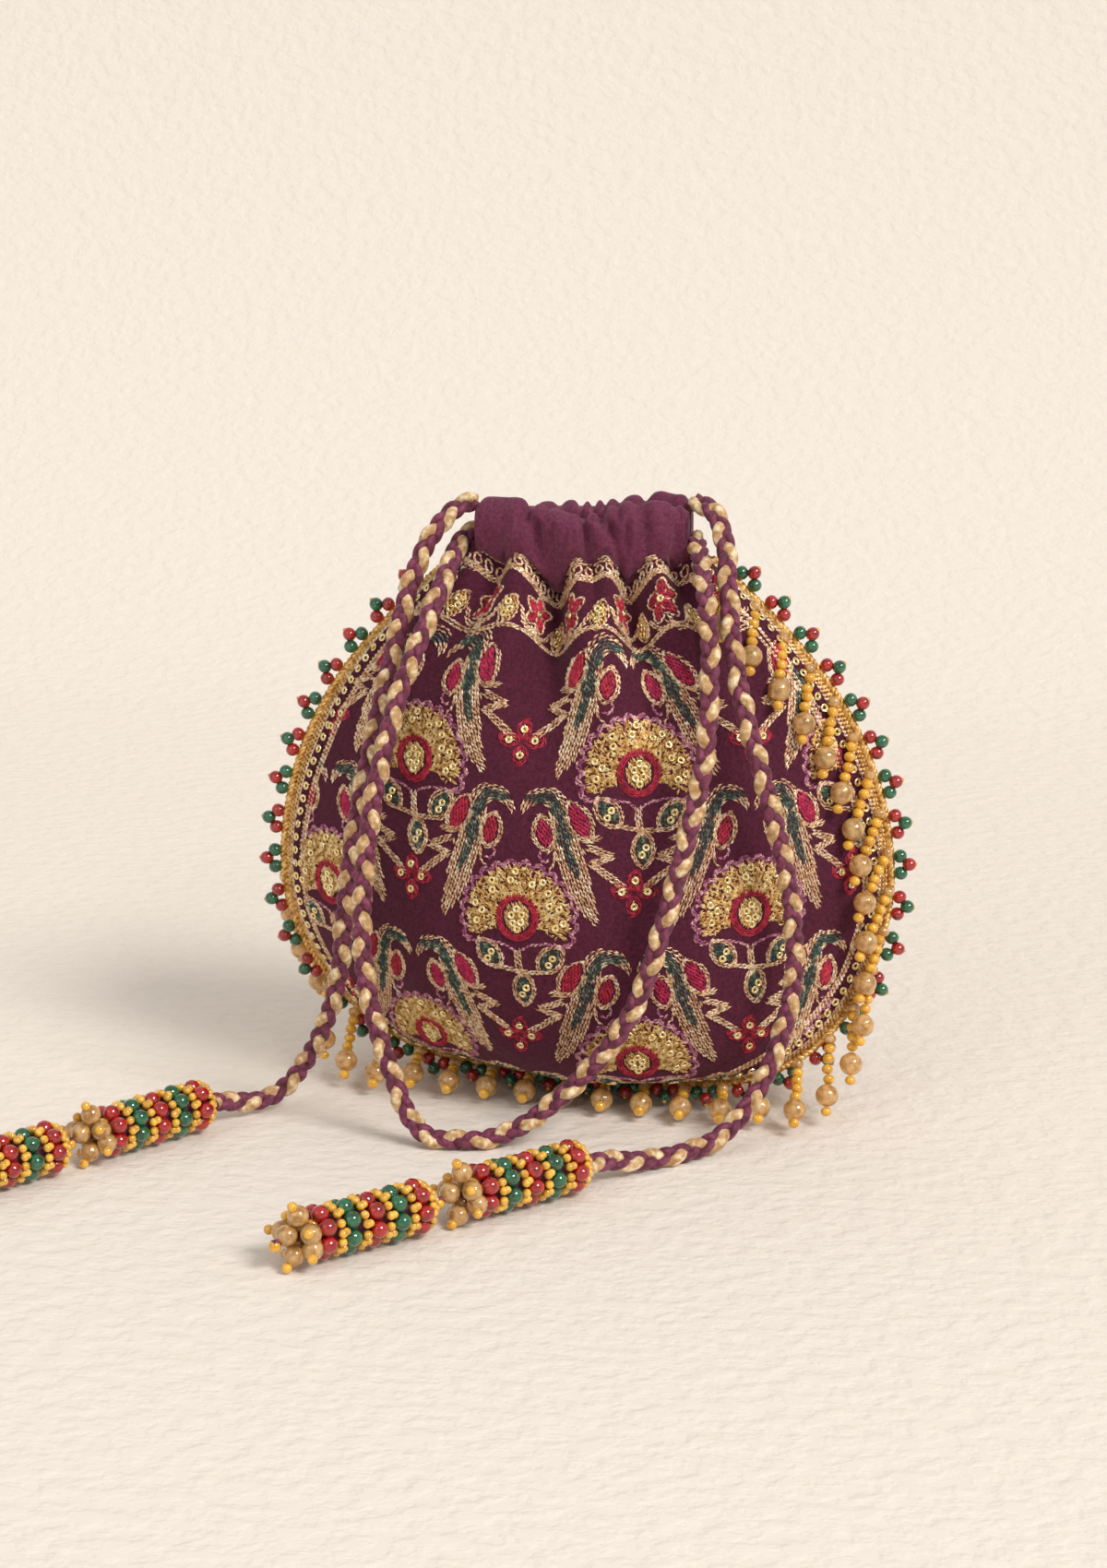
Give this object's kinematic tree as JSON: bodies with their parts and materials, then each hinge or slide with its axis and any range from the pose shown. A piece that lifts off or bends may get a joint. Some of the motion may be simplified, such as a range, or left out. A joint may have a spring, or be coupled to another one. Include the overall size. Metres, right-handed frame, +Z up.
{
  "type": "potli bag",
  "caption": "Drawstring pouch of two embroidered cloth panels with a beaded edge, a braided cord and two beaded tassels.",
  "frame": {"origin": "centre of the floor contact under the pouch, measured without its cords and tassels", "axes": "+X to the right seen from the front, -Y is the front, +Z is up towards the gathered mouth"},
  "size_m": [0.3074, 0.2305, 0.2071],
  "materials": {
    "cloth": "matt plum raw silk, embroidered",
    "lining": "matt",
    "edge_braid": "gold thread with red and green glass picots",
    "drawstring": "plait of plum and gold yarn",
    "tassel_beads": "glossy red, green and gold beads",
    "pearl_beads": "glossy champagne beads",
    "strand_beads": "glossy yellow and champagne beads"
  },
  "bodies": {
    "root": {"front_panel": "cloth", "back_panel": "cloth", "front_casing": "cloth", "back_casing": "cloth", "lining": "lining", "edge_braid_with_picots": "edge_braid", "drawstring_in_front_casing": "drawstring", "drawstring_in_back_casing": "drawstring", "drawstring_tail_left": "drawstring", "drawstring_loop": "drawstring", "drawstring_tail_right": "drawstring", "tassel_left_upper_drum": "tassel_beads", "tassel_left_upper_pearls": "pearl_beads", "tassel_left_lower_drum": "tassel_beads", "tassel_left_lower_pearls": "pearl_beads", "tassel_right_upper_drum": "tassel_beads", "tassel_right_upper_pearls": "pearl_beads", "tassel_right_lower_drum": "tassel_beads", "tassel_right_lower_pearls": "pearl_beads", "fringe_strand_01": "strand_beads", "fringe_strand_02": "strand_beads", "fringe_strand_03": "strand_beads", "fringe_strand_04": "strand_beads", "fringe_strand_05": "strand_beads", "fringe_strand_06": "strand_beads", "fringe_strand_07": "strand_beads", "fringe_strand_08": "strand_beads", "fringe_strand_09": "strand_beads", "fringe_strand_10": "strand_beads", "fringe_strand_11": "strand_beads", "fringe_strand_12": "strand_beads", "fringe_strand_13": "strand_beads", "fringe_strand_14": "strand_beads", "fringe_strand_15": "strand_beads", "fringe_strand_16": "strand_beads", "fringe_strand_17": "strand_beads", "fringe_strand_18": "strand_beads", "fringe_strand_19": "strand_beads", "fringe_strand_20": "strand_beads", "fringe_strand_21": "strand_beads", "fringe_strand_22": "strand_beads", "fringe_strand_23": "strand_beads", "fringe_strand_24": "strand_beads", "fringe_strand_25": "strand_beads", "fringe_strand_26": "strand_beads", "fringe_strand_27": "strand_beads", "fringe_strand_28": "strand_beads", "fringe_strand_29": "strand_beads", "fringe_strand_30": "strand_beads", "fringe_strand_31": "strand_beads", "fringe_strand_32": "strand_beads", "fringe_strand_33": "strand_beads", "fringe_strand_34": "strand_beads", "fringe_strand_35": "strand_beads", "fringe_strand_36": "strand_beads", "fringe_strand_37": "strand_beads", "fringe_strand_38": "strand_beads", "fringe_strand_39": "strand_beads", "fringe_strand_40": "strand_beads"}
  },
  "joints": []
}
